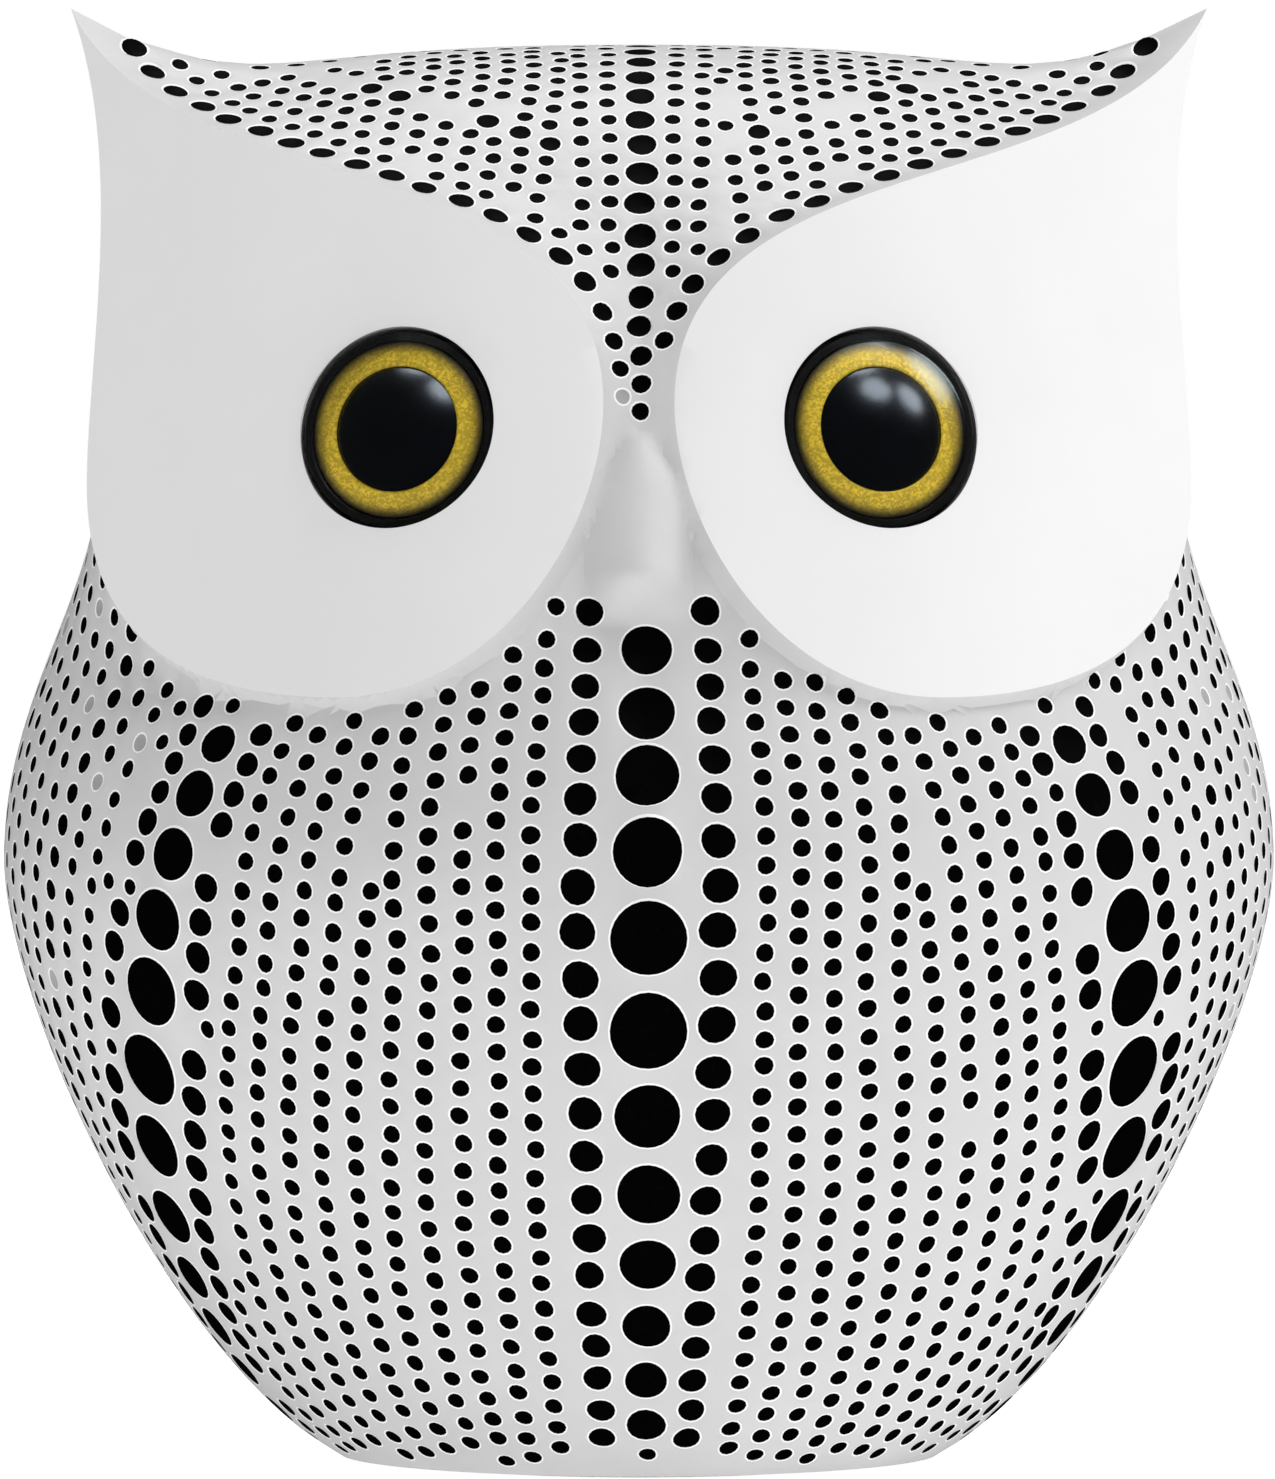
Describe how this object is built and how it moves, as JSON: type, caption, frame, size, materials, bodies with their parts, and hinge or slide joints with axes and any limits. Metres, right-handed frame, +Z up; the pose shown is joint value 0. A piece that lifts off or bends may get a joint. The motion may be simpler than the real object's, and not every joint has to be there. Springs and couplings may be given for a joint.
{
  "type": "owl figurine",
  "caption": "Free-standing hollow cast owl figurine with smooth face discs, built-up domed eyes, ear tufts and a round flat base.",
  "frame": {"origin": "middle of the base, on the surface the owl stands on", "axes": "+Z up, the owl faces -Y, +X to the viewer's right"},
  "size_m": [0.0922, 0.08, 0.105],
  "materials": {
    "cast_resin": "off-white satin paint on cast resin, with black painted dimples",
    "plug_plastic": "plain moulded plastic",
    "pad_foam": "fine closed-cell foam",
    "eye_black": "glossy black",
    "iris_gold": "gold metallic with fine flake",
    "pupil_black": "polished black",
    "lens_clear": "clear polished dome"
  },
  "bodies": {
    "root": {"body_casting": "cast_resin", "base_plug": "plug_plastic", "base_pad": "pad_foam", "eye_cup_left": "eye_black", "eye_cup_right": "eye_black", "iris_ring_left": "iris_gold", "iris_ring_right": "iris_gold", "pupil_left": "pupil_black", "pupil_right": "pupil_black", "eye_lens_left": "lens_clear", "eye_lens_right": "lens_clear"}
  },
  "joints": []
}
